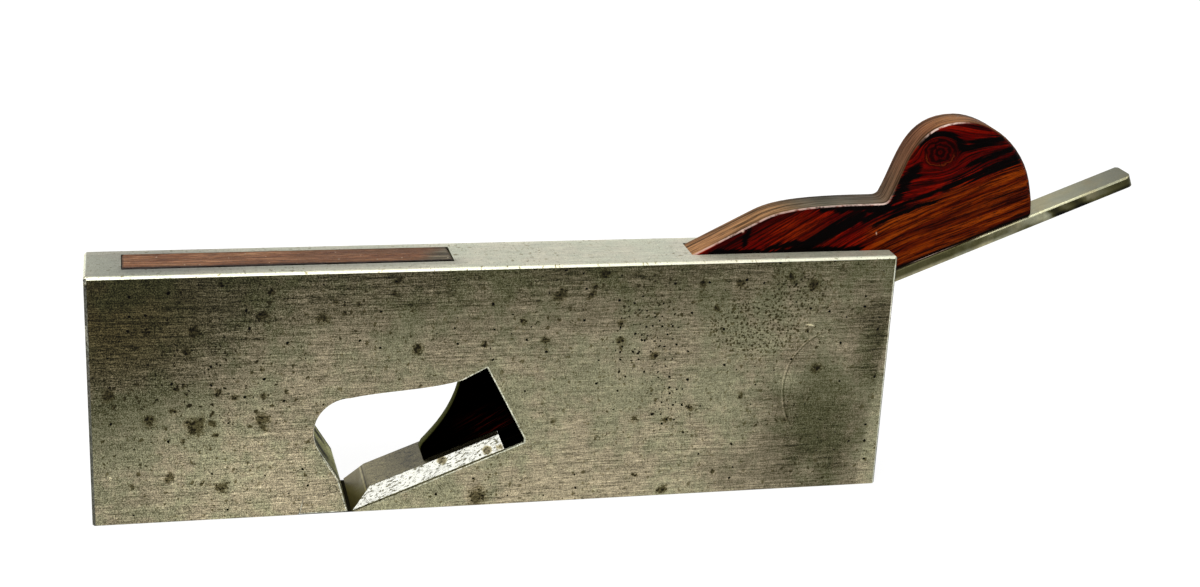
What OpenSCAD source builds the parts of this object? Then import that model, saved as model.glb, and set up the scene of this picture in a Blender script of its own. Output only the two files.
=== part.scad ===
// Rabbet plane: a narrow steel-bodied plane with its iron as wide as its body.
// The body is built up from two steel cheeks, dovetailed to two soles and
// riveted to blocks at the toe, throat, bridge and heel. Rosewood fills the
// nose and the bed, and a rosewood wedge holds the iron on its bed.
// Frame: +X runs from the toe to the heel, +Z is up, and the origin lies on
// the sole at mid length and mid width. The near cheek faces -Y.

/* [Body] */
// Length of the body over the toe and heel
body_l = 228.6; // [215:0.1:245]
// Width of the body over its two cheeks
body_w = 22.2; // [19:0.1:32]
// Height of the body over the sole
body_h = 72.3; // [69:0.1:80]
// Thickness of each cheek
cheek_t = 5.7; // [4:0.1:6.5]
// Thickness of the two sole plates
sole_t = 5; // [4:0.1:6.5]
// Thickness of the blocks that close the toe and the heel
end_block_t = 9.8; // [7:0.1:14]
// Chamfer along the outer edges of the body
edge_chamfer = 0.8; // [0.3:0.1:1.2]

/* [Bed and mouth] */
// Angle of the bed over the sole
bed_angle = 21.25; // [19.5:0.05:22.5]
// Distance from the toe to the front edge of the mouth
mouth_from_toe = 70.1; // [64:0.1:76]
// Opening of the mouth along the sole
mouth_gap = 1; // [0.8:0.05:2]
// Height that the steel ramp of the rear sole reaches
ramp_h = 12; // [8:0.5:16]

/* [Escapement] */
// Height of the centre of the escapement's round front
eye_z = 24.5; // [22:0.1:27]
// Distance of that centre behind the front edge of the mouth
eye_behind_mouth = 0.5; // [-2:0.1:3]
// Radius of the escapement's round front
eye_r = 10.2; // [8.5:0.1:11.5]
// Height of the straight lip in front of the mouth
lip_h = 10.2; // [7:0.1:12]
// Lean of that lip from upright
lip_lean = 15.2; // [8:0.1:20]
// Distance from the mouth to where the roof meets the wedge's line
roof_l = 31.7; // [28:0.1:35]
// Distance from the mouth to the escapement's upper rear corner
rear_corner_l = 38.6; // [36:0.1:44]
// Distance from the mouth to the escapement's upright rear edge
rear_edge_l = 49.9; // [48.5:0.1:54]
// Lean of the escapement's long rear edge from upright
rear_lean = 27.2; // [22:0.1:29]
// Steel left around the round front inside the throat
throat_wall = 4.5; // [3:0.1:7]

/* [Bridge and nose] */
// Distance from the toe to the front face of the bridge
bridge_from_toe = 99.6; // [97:0.1:101]
// Distance from the heel to the front edge of the slot in the top
slot_from_heel = 60.5; // [57:0.1:64]
// Depth that the nose infill is let into the far cheek
nose_rebate = 1.8; // [0.5:0.1:2.5]
// Depth of that rebate below the top of the body
nose_rebate_h = 20; // [10:1:30]

/* [Dovetails] */
// Number of dovetail pins along each edge of the front sole
front_pin_count = 3; // [2:1:4]
// Number of dovetail pins along each edge of the rear sole
rear_pin_count = 5; // [3:1:6]
// Width of a pin at its narrowest corner
pin_w = 7; // [5:0.5:9]
// Angle that a pin widens upward, which holds the cheek down
pin_slope = 16; // [8:1:20]
// Angle that a pin widens outward, which holds the cheek in
pin_flare = 12; // [6:1:16]

/* [Rivets] */
// Radius of the rivets and cross pins
rivet_r = 1.1; // [0.9:0.05:1.25]
// Radius of a peened rivet end at the outer face
rivet_head_r = 1.35; // [1.3:0.05:1.8]
// Depth of the countersink that a peened end fills
rivet_head_d = 0.8; // [0.5:0.1:1.5]

/* [Iron] */
// Overall length of the iron along the bed
iron_l = 249.8; // [235:0.1:260]
// Thickness of the iron behind its bevel
iron_tip_t = 3.7; // [3.4:0.1:5]
// Thickness of the iron at its tail
iron_tail_t = 3.3; // [2:0.1:3.4]
// Length of the full-width head
head_l = 46.6; // [42:0.1:47]
// How far each side of the head leans in from sole to top face
head_relief = 3.4; // [0.5:0.1:4]
// Angle of the cutting bevel to the flat face
bevel_angle = 27; // [24:0.5:34]
// Side play of the tang in the slot, on each side
tang_play = 0.35; // [0.1:0.05:0.6]
// Chamfer along the upper edges of the tang
tang_chamfer = 0.5; // [0.2:0.1:0.8]
// Radius of the tail's two rounded corners
tail_r = 2; // [1:0.1:4]
// Thickness of the cutting steel laid under the head
steel_t = 1.2; // [0.8:0.1:1.6]
// Length of the cutting steel
steel_l = 40; // [20:1:42]

/* [Wedge] */
// Included angle of the wedge
wedge_taper = 5.75; // [5.2:0.05:6.2]
// Side play of the wedge in the slot, on each side
wedge_play = 0.15; // [0.1:0.05:0.4]
// Distance from the mouth to the wedge's tip in the throat
tip_l = 22; // [21:0.5:24]
// Distance from the mouth to where the wedge's cove meets its upper face
cove_l = 34; // [33:0.5:35.5]
// Distance from the slot's front edge to the bend up into the crook
bend_l = 20; // [17:0.5:24]
// Height of the wedge's crook over the body
crook_rise = 14.2; // [12:0.1:16]
// Distance from the heel to the valley between crook and finial
valley_l = 2.2; // [1:0.1:5]
// Height of the finial over the crook
finial_h = 24.2; // [20:0.1:28]
// Overhang of the finial behind the heel
finial_over = 43; // [38:0.5:48]
// Distance from the finial's highest point to its end
finial_l = 24; // [20:0.5:28]
// Radius of the wedge's eased edges
wedge_round = 1.1; // [0.6:0.1:1.4]
// Radius of the eased edges at the finial's rear
finial_round = 2.4; // [1.5:0.1:3]

/* [Fits] */
// Running clearance of the iron over its bed
iron_seat = 0.04; // [0.02:0.01:0.1]
// Running clearance of the wedge over the iron
wedge_seat = 0.06; // [0.04:0.01:0.1]
// Running clearance of the wedge under the bridge
bridge_seat = 0.08; // [0.04:0.01:0.1]

/* [Hidden] */
$fn = 72;

STEEL = "#8f8b78";
BLOCK = "#9a968a";
RIVET = "#77736a";
INFILL = "#7a4630";
WEDGE = "#6b2f1a";
IRON = "#a8a395";
EDGE = "#c9c6ba";

toe_x = -body_l / 2;
heel_x = body_l / 2;
mouth_x = toe_x + mouth_from_toe;
bed_foot_x = mouth_x + mouth_gap;
bridge_x = toe_x + bridge_from_toe;
slot_x = heel_x - slot_from_heel;
eye_x = mouth_x + eye_behind_mouth;
roof_x = mouth_x + roof_l;
core_w = body_w - 2 * cheek_t;

// Iron and wedge lines
iron_angle = bed_angle - atan((iron_tip_t - iron_tail_t) / iron_l);
wedge_angle = iron_angle + wedge_taper;
iron_w = core_w - 2 * tang_play;
wedge_w = core_w - 2 * wedge_play;
past = 20;

// Height of the bed plane, of a line over the iron and of the wedge's line
function bed_z(x) = (x - bed_foot_x) * tan(bed_angle);
function bed_x(z) = bed_foot_x + z / tan(bed_angle);
iron_top = iron_tip_t + iron_seat;
iron_top_x = bed_foot_x - iron_top * sin(bed_angle);
iron_top_z = iron_top * cos(bed_angle);
function over_iron_z(x) = iron_top_z + (x - iron_top_x) * tan(iron_angle);
function wedge_line_z(x) = body_h + (x - slot_x) * tan(wedge_angle);
function wedge_bottom_z(x) = over_iron_z(x) + wedge_seat / cos(iron_angle);
function wedge_top_z(x) = wedge_line_z(x) - bridge_seat / cos(wedge_angle);

// Points of a cubic curve through p[0] and p[3], without its last point
function cubic(p, steps) = [for (i = [0 : steps - 1])
    let (t = i / steps, u = 1 - t)
    u * u * u * p[0] + 3 * u * u * t * p[1] + 3 * u * t * t * p[2] + t * t * t * p[3]];

// Slab between two Y planes of an outline drawn in X and Z
module slab(y_low, y_high) {
    translate([0, y_high, 0]) rotate([90, 0, 0]) linear_extrude(y_high - y_low) children();
}

// Rectangle with chamfered corners, from low to high
module chamfered(low, high, c_low, c_high) {
    polygon([[low.x + c_low, low.y], [high.x - c_low, low.y],
             [high.x, low.y + c_low], [high.x, high.y - c_high],
             [high.x - c_high, high.y], [low.x + c_high, high.y],
             [low.x, high.y - c_high], [low.x, low.y + c_low]]);
}

// Outer form of the body, with its chamfered edges
module envelope() {
    intersection() {
        slab(-body_w / 2, body_w / 2) chamfered([toe_x, 0], [heel_x, body_h], 0, edge_chamfer);
        translate([toe_x, 0, 0]) rotate([90, 0, 90]) linear_extrude(body_l)
            chamfered([-body_w / 2, 0], [body_w / 2, body_h], 0, edge_chamfer);
        linear_extrude(body_h)
            chamfered([toe_x, -body_w / 2], [heel_x, body_w / 2], edge_chamfer, edge_chamfer);
    }
}

// Escapement outline: round front, leaning lip, bed, rear edges and roof
module escapement() {
    lip = [mouth_x - lip_h * tan(lip_lean), lip_h];
    reach = norm([eye_x, eye_z] - lip);
    aim = atan2(eye_z - lip.y, eye_x - lip.x) + asin(eye_r / reach);
    touch = lip + sqrt(reach * reach - eye_r * eye_r) * [cos(aim), sin(aim)];
    corner = [mouth_x + rear_corner_l, wedge_line_z(mouth_x + rear_corner_l)];
    edge_x = mouth_x + rear_edge_l;
    edge_z = corner.y - (edge_x - corner.x) / tan(rear_lean);
    roof_rise = wedge_line_z(roof_x) - eye_z - eye_r;
    roof = cubic([[roof_x, wedge_line_z(roof_x)],
                  [roof_x - 0.37 * roof_l, eye_z + eye_r + 0.32 * roof_rise],
                  [eye_x + 0.31 * roof_l, eye_z + eye_r + 0.46 * roof_rise],
                  [eye_x, eye_z + eye_r]], 12);
    translate([eye_x, eye_z]) circle(eye_r);
    polygon(concat([[mouth_x, 0], [mouth_x + 0.2, -1], [bed_foot_x, -1], [bed_foot_x, 0],
                    [edge_x, bed_z(edge_x)], [edge_x, max(edge_z, bed_z(edge_x) + 0.5)],
                    corner], roof, [[eye_x, eye_z + eye_r], [eye_x, eye_z], touch, lip]));
}

// Dovetail pin of a sole, reaching through the near cheek at x
module pin_solid(x) {
    cut = 30;
    intersection() {
        translate([x - cut / 2, -body_w / 2, 0]) cube([cut, cheek_t, sole_t]);
        difference() {
            translate([x - cut / 2, -body_w / 2, 0]) cube([cut, cheek_t, sole_t]);
            for (side = [-1, 1])
                translate([x + side * pin_w / 2, -core_w / 2, 0])
                rotate([0, side * pin_slope, 0]) rotate([0, 0, side * pin_flare])
                translate([side > 0 ? 0 : -cut, -cut / 2, -cut / 2]) cube(cut);
        }
    }
}

// Where the pins stand along a sole that runs from low to high
function pin_places(low, high, count) =
    [for (i = [0 : count - 1]) low + (high - low) * (i + 0.5) / count];
front_pins = pin_places(toe_x + 0.4 * sole_t, mouth_x - 1.8 * sole_t, front_pin_count);
rear_pins = pin_places(bed_x(sole_t) + 1.8 * sole_t, heel_x - 0.4 * sole_t, rear_pin_count);

// All the pins of one list, on both sides of the body
module pins(places) {
    for (x = places) {
        pin_solid(x);
        mirror([0, 1, 0]) pin_solid(x);
    }
}

// Rivet through the whole body, peened flush in a countersink at both ends
module rivet(place) {
    translate([place.x, 0, place.y]) rotate([90, 0, 0]) {
        cylinder(r = rivet_r, h = body_w, center = true);
        for (side = [0, 1])
            mirror([0, 0, side]) translate([0, 0, body_w / 2 - rivet_head_d])
            cylinder(r1 = rivet_r, r2 = rivet_head_r, h = rivet_head_d);
    }
}

// Places of the rivets and pins, in X and Z
toe_rivet_places = [for (share = [0.22, 0.5, 0.78]) [toe_x + end_block_t / 2, share * body_h]];
throat_ring_r = eye_r + throat_wall / 2 + 0.1;
throat_rivet_places = concat(
    [[mouth_x - 0.42 * eye_r, 0.72 * lip_h]],
    [for (a = [186, 112]) [eye_x, eye_z] + throat_ring_r * [cos(a), sin(a)]]);
bridge_rivet_places = [for (share = [[0.1, 0.64], [0.1, 0.22], [0.42, 0.4], [0.71, 0.45]])
    let (x = bridge_x + share.x * (slot_x - bridge_x))
    [x, body_h - share.y * (body_h - wedge_line_z(x))]];
heel_rivet_places = [for (share = [0.25, 0.53, 0.82])
    [heel_x - end_block_t / 2, share * bed_z(heel_x - end_block_t)]];
nose_pin_places = [for (share = [[0.12, 0.4], [0.175, 0.75], [0.35, 0.78]])
    [toe_x + share.x * body_l, share.y * body_h]];
bed_pin_places = [for (share = [[0.36, 0.41], [0.24, 0.47], [0.12, 0.55]])
    let (x = heel_x - share.x * body_l) [x, share.y * bed_z(x)]];

module rivets(places) {
    for (place = places) rivet(place);
}

// Body pieces
module cheek() {
    difference() {
        intersection() {
            envelope();
            translate([toe_x, -body_w / 2, 0]) cube([body_l, cheek_t, body_h]);
        }
        slab(-body_w, 0) escapement();
        pins(front_pins);
        pins(rear_pins);
        rivets(concat(toe_rivet_places, throat_rivet_places, bridge_rivet_places,
                      heel_rivet_places, nose_pin_places, bed_pin_places));
    }
}

module near_cheek() {
    color(STEEL) cheek();
}

module far_cheek() {
    color(STEEL) difference() {
        mirror([0, 1, 0]) cheek();
        translate([toe_x + end_block_t, core_w / 2 - 1, body_h - nose_rebate_h])
            cube([bridge_from_toe - end_block_t, nose_rebate + 1, nose_rebate_h + 1]);
    }
}

// Slab of the body's core, between the two cheeks
module core() {
    slab(-core_w / 2, core_w / 2) children();
}

module front_sole() {
    color(BLOCK) {
        core() difference() {
            translate([toe_x, 0]) square([mouth_from_toe, sole_t]);
            escapement();
        }
        pins(front_pins);
    }
}

module rear_sole() {
    ramp_x = bed_x(ramp_h);
    color(BLOCK) {
        core() polygon([[bed_foot_x, 0], [heel_x, 0], [heel_x, sole_t], [ramp_x, sole_t],
                        [ramp_x, ramp_h]]);
        pins(rear_pins);
    }
}

module toe_block() {
    color(BLOCK) difference() {
        intersection() {
            core() translate([toe_x, sole_t]) square([end_block_t, body_h - sole_t]);
            envelope();
        }
        rivets(toe_rivet_places);
    }
}

// Outline of the throat block before the escapement is cut from it
module throat_outline() {
    foot_x = eye_x - eye_r - throat_wall;
    top_z = eye_z + eye_r + throat_wall;
    shoulder = 0.5 * (eye_r + throat_wall);
    bridge_z = wedge_line_z(roof_x) + throat_wall;
    polygon([[foot_x, sole_t], [mouth_x, sole_t], [eye_x, eye_z], [bridge_x, eye_z],
             [bridge_x, bridge_z], [eye_x, top_z], [eye_x - shoulder, top_z],
             [foot_x, top_z - shoulder]]);
}

module throat_block() {
    color(BLOCK) difference() {
        core() difference() {
            throat_outline();
            escapement();
        }
        rivets(throat_rivet_places);
    }
}

module bridge_block() {
    color(BLOCK) difference() {
        core() difference() {
            polygon([[bridge_x, eye_z], [roof_x, wedge_line_z(roof_x)], [slot_x, body_h],
                     [bridge_x, body_h]]);
            escapement();
        }
        rivets(bridge_rivet_places);
    }
}

module heel_block() {
    low_x = heel_x - end_block_t;
    color(BLOCK) difference() {
        intersection() {
            core() polygon([[low_x, sole_t], [heel_x, sole_t], [heel_x, bed_z(heel_x)],
                            [low_x, bed_z(low_x)]]);
            envelope();
        }
        rivets(heel_rivet_places);
    }
}

module nose_infill() {
    low_x = toe_x + end_block_t;
    color(INFILL) difference() {
        union() {
            core() difference() {
                translate([low_x, sole_t]) square([bridge_x - low_x, body_h - sole_t]);
                throat_outline();
                translate([mouth_x, 0]) square([bridge_x - mouth_x, eye_z]);
            }
            translate([low_x, core_w / 2 - 1, body_h - nose_rebate_h])
                cube([bridge_x - low_x, nose_rebate + 1, nose_rebate_h]);
        }
        rivets(nose_pin_places);
    }
}

module bed_infill() {
    low_x = bed_x(ramp_h);
    high_x = heel_x - end_block_t;
    color(INFILL) difference() {
        core() polygon([[low_x, sole_t], [high_x, sole_t], [high_x, bed_z(high_x)],
                        [low_x, bed_z(low_x)]]);
        rivets(bed_pin_places);
    }
}

module toe_rivets() {
    color(RIVET) rivets(toe_rivet_places);
}

module throat_rivets() {
    color(RIVET) rivets(throat_rivet_places);
}

module bridge_rivets() {
    color(RIVET) rivets(bridge_rivet_places);
}

module heel_rivets() {
    color(RIVET) rivets(heel_rivet_places);
}

module nose_pins() {
    color(RIVET) rivets(nose_pin_places);
}

module bed_pins() {
    color(RIVET) rivets(bed_pin_places);
}

// Iron and wedge, the iron drawn flat and then laid on the bed
module on_bed() {
    translate([bed_foot_x, 0, 0]) rotate([0, -bed_angle, 0]) translate([0, 0, iron_seat]) children();
}

// Side outline of the iron: bevelled tip and taper to the tail
iron_slope = (iron_tip_t - iron_tail_t) / iron_l;
module iron_side() {
    bevel_l = iron_tip_t / (tan(bevel_angle) + iron_slope);
    polygon([[0, 0], [iron_l, 0], [iron_l, iron_tail_t],
             [bevel_l, iron_tip_t - iron_slope * bevel_l]]);
}

// Cutting steel laid under the head, with a scarfed end
module steel_side() {
    bevel_l = steel_t / tan(bevel_angle);
    polygon([[0, 0], [steel_l, 0], [steel_l - 2 * steel_t, steel_t], [bevel_l, steel_t]]);
}

// Head of the iron, whose sides lean in, and tang with its chamfered upper edges
module iron_plan() {
    tang_l = iron_l - head_l + 1;
    spare = 0.5;
    edge = iron_w / 2 - tang_chamfer - spare;
    rotate([90, 0, 90]) linear_extrude(head_l)
        polygon([[-body_w / 2, 0], [body_w / 2, 0], [body_w / 2 - head_relief, iron_tip_t],
                 [head_relief - body_w / 2, iron_tip_t]]);
    intersection() {
        linear_extrude(iron_tip_t) {
            translate([head_l - 1, -iron_w / 2]) square([tang_l - tail_r, iron_w]);
            translate([head_l - 1, tail_r - iron_w / 2]) square([tang_l, iron_w - 2 * tail_r]);
            for (side = [-1, 1])
                translate([iron_l - tail_r, side * (iron_w / 2 - tail_r)]) circle(tail_r);
        }
        translate([0, 0, iron_tip_t]) rotate([0, atan(iron_slope), 0]) rotate([90, 0, 90])
            linear_extrude(iron_l + 1)
            polygon([[-iron_w, -2 * iron_tip_t], [iron_w, -2 * iron_tip_t],
                     [iron_w, edge + spare - iron_w], [edge, spare], [-edge, spare],
                     [-iron_w, edge + spare - iron_w]]);
    }
}

module iron() {
    color(IRON) on_bed() difference() {
        intersection() {
            slab(-body_w, body_w) iron_side();
            iron_plan();
        }
        slab(-body_w, body_w) steel_side();
    }
}

module cutting_steel() {
    color(EDGE) on_bed() intersection() {
        slab(-body_w, body_w) steel_side();
        iron_plan();
    }
}

// Ends of the wedge's outline
wedge_tip_x = mouth_x + tip_l;
wedge_end_x = heel_x + finial_over;
wedge_tail_x = wedge_end_x - 0.6 * wedge_round;
crook_z = body_h + crook_rise;
finial_z = crook_z + finial_h;
finial_x = wedge_end_x - finial_l;

// Upper side of the wedge from its tip: cove, straight face, crook and finial
function wedge_upper() =
    let (tip_z = wedge_bottom_z(wedge_tip_x), cove_x = mouth_x + cove_l,
         cove_z = wedge_top_z(cove_x), cove_h = cove_z - tip_z, cove_w = cove_x - wedge_tip_x,
         bend_x = slot_x + bend_l, bend_z = wedge_top_z(bend_x), valley_x = heel_x - valley_l,
         end_z = wedge_bottom_z(wedge_end_x), end_h = finial_z - end_z,
         nose = [wedge_tip_x + 0.055 * cove_w, tip_z + 0.09 * cove_h])
    concat(
        cubic([[wedge_tip_x, tip_z + 0.01 * cove_h],
               [wedge_tip_x - 0.01 * cove_w, tip_z + 0.03 * cove_h],
               [wedge_tip_x + 0.01 * cove_w, tip_z + 0.06 * cove_h], nose], 6),
        cubic([nose, [cove_x - 0.55 * cove_w, cove_z - 0.71 * cove_h],
               [cove_x - 0.07 * cove_w, cove_z - 0.48 * cove_h], [cove_x, cove_z]], 10),
        [[cove_x, cove_z]],
        cubic([[bend_x, bend_z], [bend_x + 0.25 * bend_l, wedge_top_z(bend_x + 0.25 * bend_l)],
               [bend_x + 0.6 * bend_l, crook_z], [valley_x - 0.11 * finial_l, crook_z]], 12),
        cubic([[valley_x - 0.11 * finial_l, crook_z], [valley_x - 0.05 * finial_l, crook_z],
               [valley_x - 0.02 * finial_l, crook_z + 0.01 * finial_h],
               [valley_x, crook_z + 0.04 * finial_h]], 4),
        cubic([[valley_x, crook_z + 0.04 * finial_h],
               [valley_x + 0.2 * finial_l, crook_z + 0.45 * finial_h],
               [finial_x - 0.67 * finial_l, finial_z], [finial_x, finial_z]], 16),
        cubic([[finial_x, finial_z], [finial_x + 0.4 * finial_l, finial_z],
               [wedge_end_x + 0.025 * finial_l, end_z + 0.665 * end_h],
               [wedge_end_x, end_z + 0.05 * end_h]], 16),
        [[wedge_end_x, end_z + 0.05 * end_h], [wedge_end_x - 0.1 * wedge_round, end_z + 0.02 * end_h]]);

// Point of the wedge's flat underside below each upper point, kept in order
function wedge_lower(upper) =
    let (last = len(upper) - 1, step = finial_l / last)
    [for (i = [0 : last])
        let (x = min(max(upper[i].x, wedge_tip_x + i * step), wedge_tail_x - (last - i) * step))
        [x, wedge_bottom_z(x)]];

// Share from 0 to 1 of the way from low to high, eased at both ends
function eased(v, low, high) =
    let (t = max(0, min(1, (v - low) / (high - low)))) t * t * (3 - 2 * t);

// Radius of the eased edge at a point of the outline, small next to its two lower corners
function ease_r(p) =
    let (rise = p.y - wedge_bottom_z(p.x),
         corner = min(norm(p - [wedge_tip_x, wedge_bottom_z(wedge_tip_x)]),
                      norm(p - [wedge_end_x, wedge_bottom_z(wedge_end_x)])),
         full = wedge_round * (0.6 + 0.4 * eased(rise, 0, 0.25 * finial_h))
             + (finial_round - wedge_round) * eased(p.x, finial_x, wedge_end_x - 0.15 * finial_l)
             * eased(rise, 0.1 * finial_h, 0.4 * finial_h))
    min(full, max(0.1 * wedge_round, 0.45 * corner));

// Inset of a closed outline, each point moved by its own share along its corner's bisector
function inset(points, radii, share) =
    [for (i = [0 : len(points) - 1])
        let (n = len(points), p = points[i],
             a = p - points[(i + n - 1) % n], b = points[(i + 1) % n] - p,
             na = [-a.y, a.x] / norm(a), nb = [-b.y, b.x] / norm(b),
             m = na + nb)
        p + radii[i] * share * m / max(m * na, 0.6)];

// Solid of the wedge: rings of its outline, stepped in around the eased edges
module wedge() {
    upper = wedge_upper();
    lower = wedge_lower(upper);
    half = len(upper);
    n = 2 * half;
    outline = concat(lower, [for (i = [half - 1 : -1 : 0]) upper[i]]);
    radii = [for (p = outline) ease_r(p)];
    turns = [for (a = [0 : 22.5 : 90]) a];
    near = [for (a = turns) let (ring = inset(outline, radii, 1 - sin(a)))
        [for (i = [0 : n - 1]) [ring[i].x, radii[i] * (1 - cos(a)) - wedge_w / 2, ring[i].y]]];
    rings = concat(near, [for (k = [len(near) - 1 : -1 : 0]) [for (p = near[k]) [p.x, -p.y, p.z]]]);
    last = (len(rings) - 1) * n;
    color(WEDGE) polyhedron(
        points = [for (ring = rings) each ring],
        faces = concat(
            [for (i = [0 : half - 2]) [n - 2 - i, i + 1, i]],
            [for (i = [0 : half - 2]) [n - 1 - i, n - 2 - i, i]],
            [for (k = [0 : len(rings) - 2], i = [0 : n - 1])
                [k * n + (i + 1) % n, (k + 1) * n + (i + 1) % n, (k + 1) * n + i, k * n + i]],
            [for (i = [0 : half - 2]) [last + i, last + i + 1, last + n - 2 - i]],
            [for (i = [0 : half - 2]) [last + i, last + n - 2 - i, last + n - 1 - i]]));
}

near_cheek();
far_cheek();
front_sole();
rear_sole();
toe_block();
throat_block();
bridge_block();
heel_block();
nose_infill();
bed_infill();
toe_rivets();
throat_rivets();
bridge_rivets();
heel_rivets();
nose_pins();
bed_pins();
iron();
cutting_steel();
wedge();
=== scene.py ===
import math
from types import SimpleNamespace

import bmesh
import bpy
from mathutils import Matrix, Vector, noise

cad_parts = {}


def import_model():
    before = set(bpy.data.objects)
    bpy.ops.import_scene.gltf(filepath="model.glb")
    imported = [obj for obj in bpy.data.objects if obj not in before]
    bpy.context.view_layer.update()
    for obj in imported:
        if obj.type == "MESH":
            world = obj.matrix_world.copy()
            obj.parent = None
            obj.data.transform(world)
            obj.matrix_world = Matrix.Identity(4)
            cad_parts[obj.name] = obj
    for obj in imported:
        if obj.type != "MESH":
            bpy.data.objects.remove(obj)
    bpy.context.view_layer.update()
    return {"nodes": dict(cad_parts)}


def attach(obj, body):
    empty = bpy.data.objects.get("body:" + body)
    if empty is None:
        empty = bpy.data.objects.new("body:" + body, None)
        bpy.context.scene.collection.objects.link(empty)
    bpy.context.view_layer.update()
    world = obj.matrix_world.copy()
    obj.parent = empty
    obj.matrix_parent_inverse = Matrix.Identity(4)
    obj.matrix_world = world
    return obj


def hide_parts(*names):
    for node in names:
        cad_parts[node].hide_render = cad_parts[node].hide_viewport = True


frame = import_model()

# Sizes in millimetres, as in the part's source
MM = 0.001
BODY_L, BODY_W, BODY_H = 228.6, 22.2, 72.3
CHEEK_T, END_BLOCK_T, NOSE_REBATE = 5.7, 9.8, 1.8
BED_ANGLE = math.radians(21.25)
TOE_X, HEEL_X = -BODY_L / 2, BODY_L / 2
MOUTH_X, BED_FOOT_X = TOE_X + 70.1, TOE_X + 71.1
BRIDGE_X = TOE_X + 99.6
CORE_W = BODY_W - 2 * CHEEK_T
HEAD_L = 46.6
EYE_R, LIP_H = 10.2, 10.2
MOUTH_RIVET = (MOUTH_X - 0.42 * EYE_R, 0.72 * LIP_H)

# The photograph's width in pixels, the camera's focal length in pixels and its sensor in millimetres
IMAGE_W, FOCAL, SENSOR_W = 1200, 1962.0, 36

# Where the body's faces are told apart: the zone of the top, the start of the notch behind the iron's head,
# and how square to a side or to the top a face has to be
TOP_ZONE, NOTCH_X = BODY_H - 5, MOUTH_X + 41
SIDE_ON, TOP_ON = 0.96, 0.9

# Wear and wood: width of the eased edges, slopes of the wedge's grain, its long vein and its knot
ARRIS = 0.5
WEDGE_GRAIN, CROOK_GRAIN, VEIN_Z = 0.37, 0.6, 43.5
KNOT, KNOT_R = (126.3, 101.4), 4.3


def camera():
    """Camera at the photograph's viewing angle, fitted to the body's edges."""
    yaw, pitch, roll = 0.24944, 0.33879, 0.05451
    forward = Vector((math.sin(yaw) * math.cos(pitch), math.cos(yaw) * math.cos(pitch), -math.sin(pitch)))
    level = Vector((math.cos(yaw), -math.sin(yaw), 0))
    up = level.cross(forward)
    right = level * math.cos(roll) + up * math.sin(roll)
    upward = up * math.cos(roll) - level * math.sin(roll)
    data = bpy.data.cameras.new("camera")
    data.sensor_width = SENSOR_W
    data.sensor_fit = "HORIZONTAL"
    data.lens = FOCAL * SENSOR_W / IMAGE_W
    data.shift_x = -7.0 / IMAGE_W
    data.shift_y = -1.9 / IMAGE_W
    data.clip_start, data.clip_end = 0.01, 50
    made = bpy.data.objects.new("camera", data)
    bpy.context.scene.collection.objects.link(made)
    made.matrix_world = Matrix.Translation(Vector((-100.52, -514.91, 247.24)) * MM) @ Matrix(
        (right, upward, -forward)).transposed().to_4x4()
    bpy.context.scene.camera = made


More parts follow.
